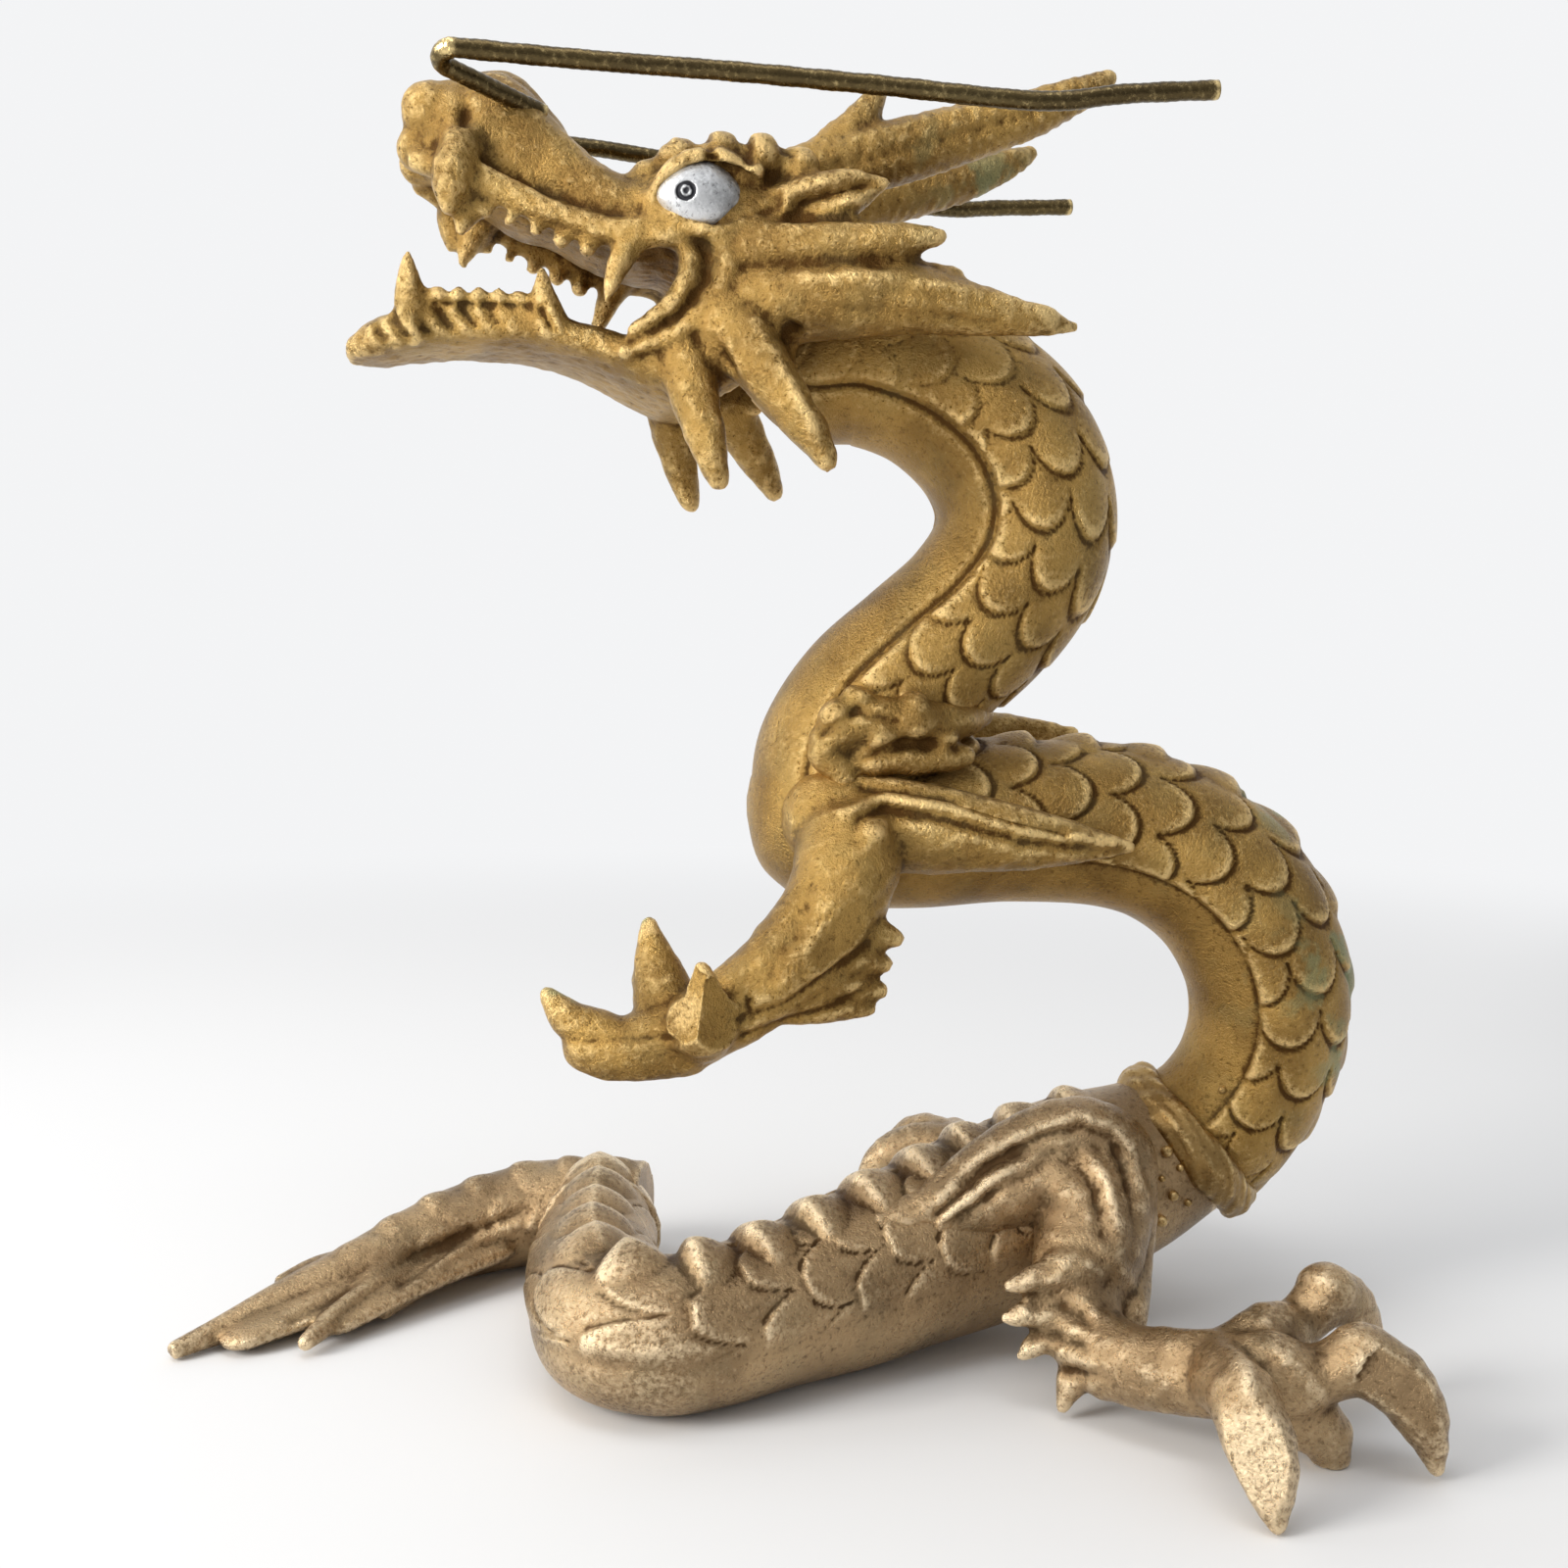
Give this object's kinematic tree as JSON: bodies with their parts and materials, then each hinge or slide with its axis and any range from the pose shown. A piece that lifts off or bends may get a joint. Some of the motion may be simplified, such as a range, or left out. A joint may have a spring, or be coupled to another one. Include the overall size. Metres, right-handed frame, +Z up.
{
  "type": "dragon ornament",
  "caption": "Coiled metal dragon figure standing on its tail loop and hind feet, with an open mouth and two swivelling wire whiskers.",
  "frame": {"origin": "centre of the bounding box at ground level, on the surface the figure stands on", "axes": "+Z up from the ground, the figure looks along -X with its left side towards -Y, and Y is its narrowest direction"},
  "size_m": [0.2098, 0.16, 0.2159],
  "materials": {
    "gold_painted_casting": "sand-cast grain under gold paint",
    "champagne_gold_casting": "sand-cast grain under paler champagne gold paint",
    "painted_brass_wire": "drawn wire, dark toned, scuffed gold paint",
    "braze_bead": "rippled braze under gold paint"
  },
  "bodies": {
    "figure": {"head": "gold_painted_casting", "left_horn": "gold_painted_casting", "right_horn": "gold_painted_casting", "neck": "gold_painted_casting", "torso": "gold_painted_casting", "left_foreleg": "gold_painted_casting", "right_foreleg": "gold_painted_casting", "rear_body": "champagne_gold_casting", "tail_end": "champagne_gold_casting", "left_hind_leg": "champagne_gold_casting", "right_hind_leg": "champagne_gold_casting", "chest_braze": "braze_bead", "waist_braze": "braze_bead", "tail_braze": "braze_bead"},
    "left_whisker_wire": {"left_whisker": "painted_brass_wire"},
    "right_whisker_wire": {"right_whisker": "painted_brass_wire"}
  },
  "joints": [
    {"name": "left_whisker_swivel", "type": "hinge", "parent": "figure", "child": "left_whisker_wire", "pos_m": [-0.04225, -0.03027, 0.2082], "axis": [-0.7298, -0.6596, 0.1797], "range_deg": [-15, 40]},
    {"name": "right_whisker_swivel", "type": "hinge", "parent": "figure", "child": "right_whisker_wire", "pos_m": [-0.04642, -0.00664, 0.2082], "axis": [-0.9114, 0.3702, 0.1797], "range_deg": [-40, 15]}
  ]
}
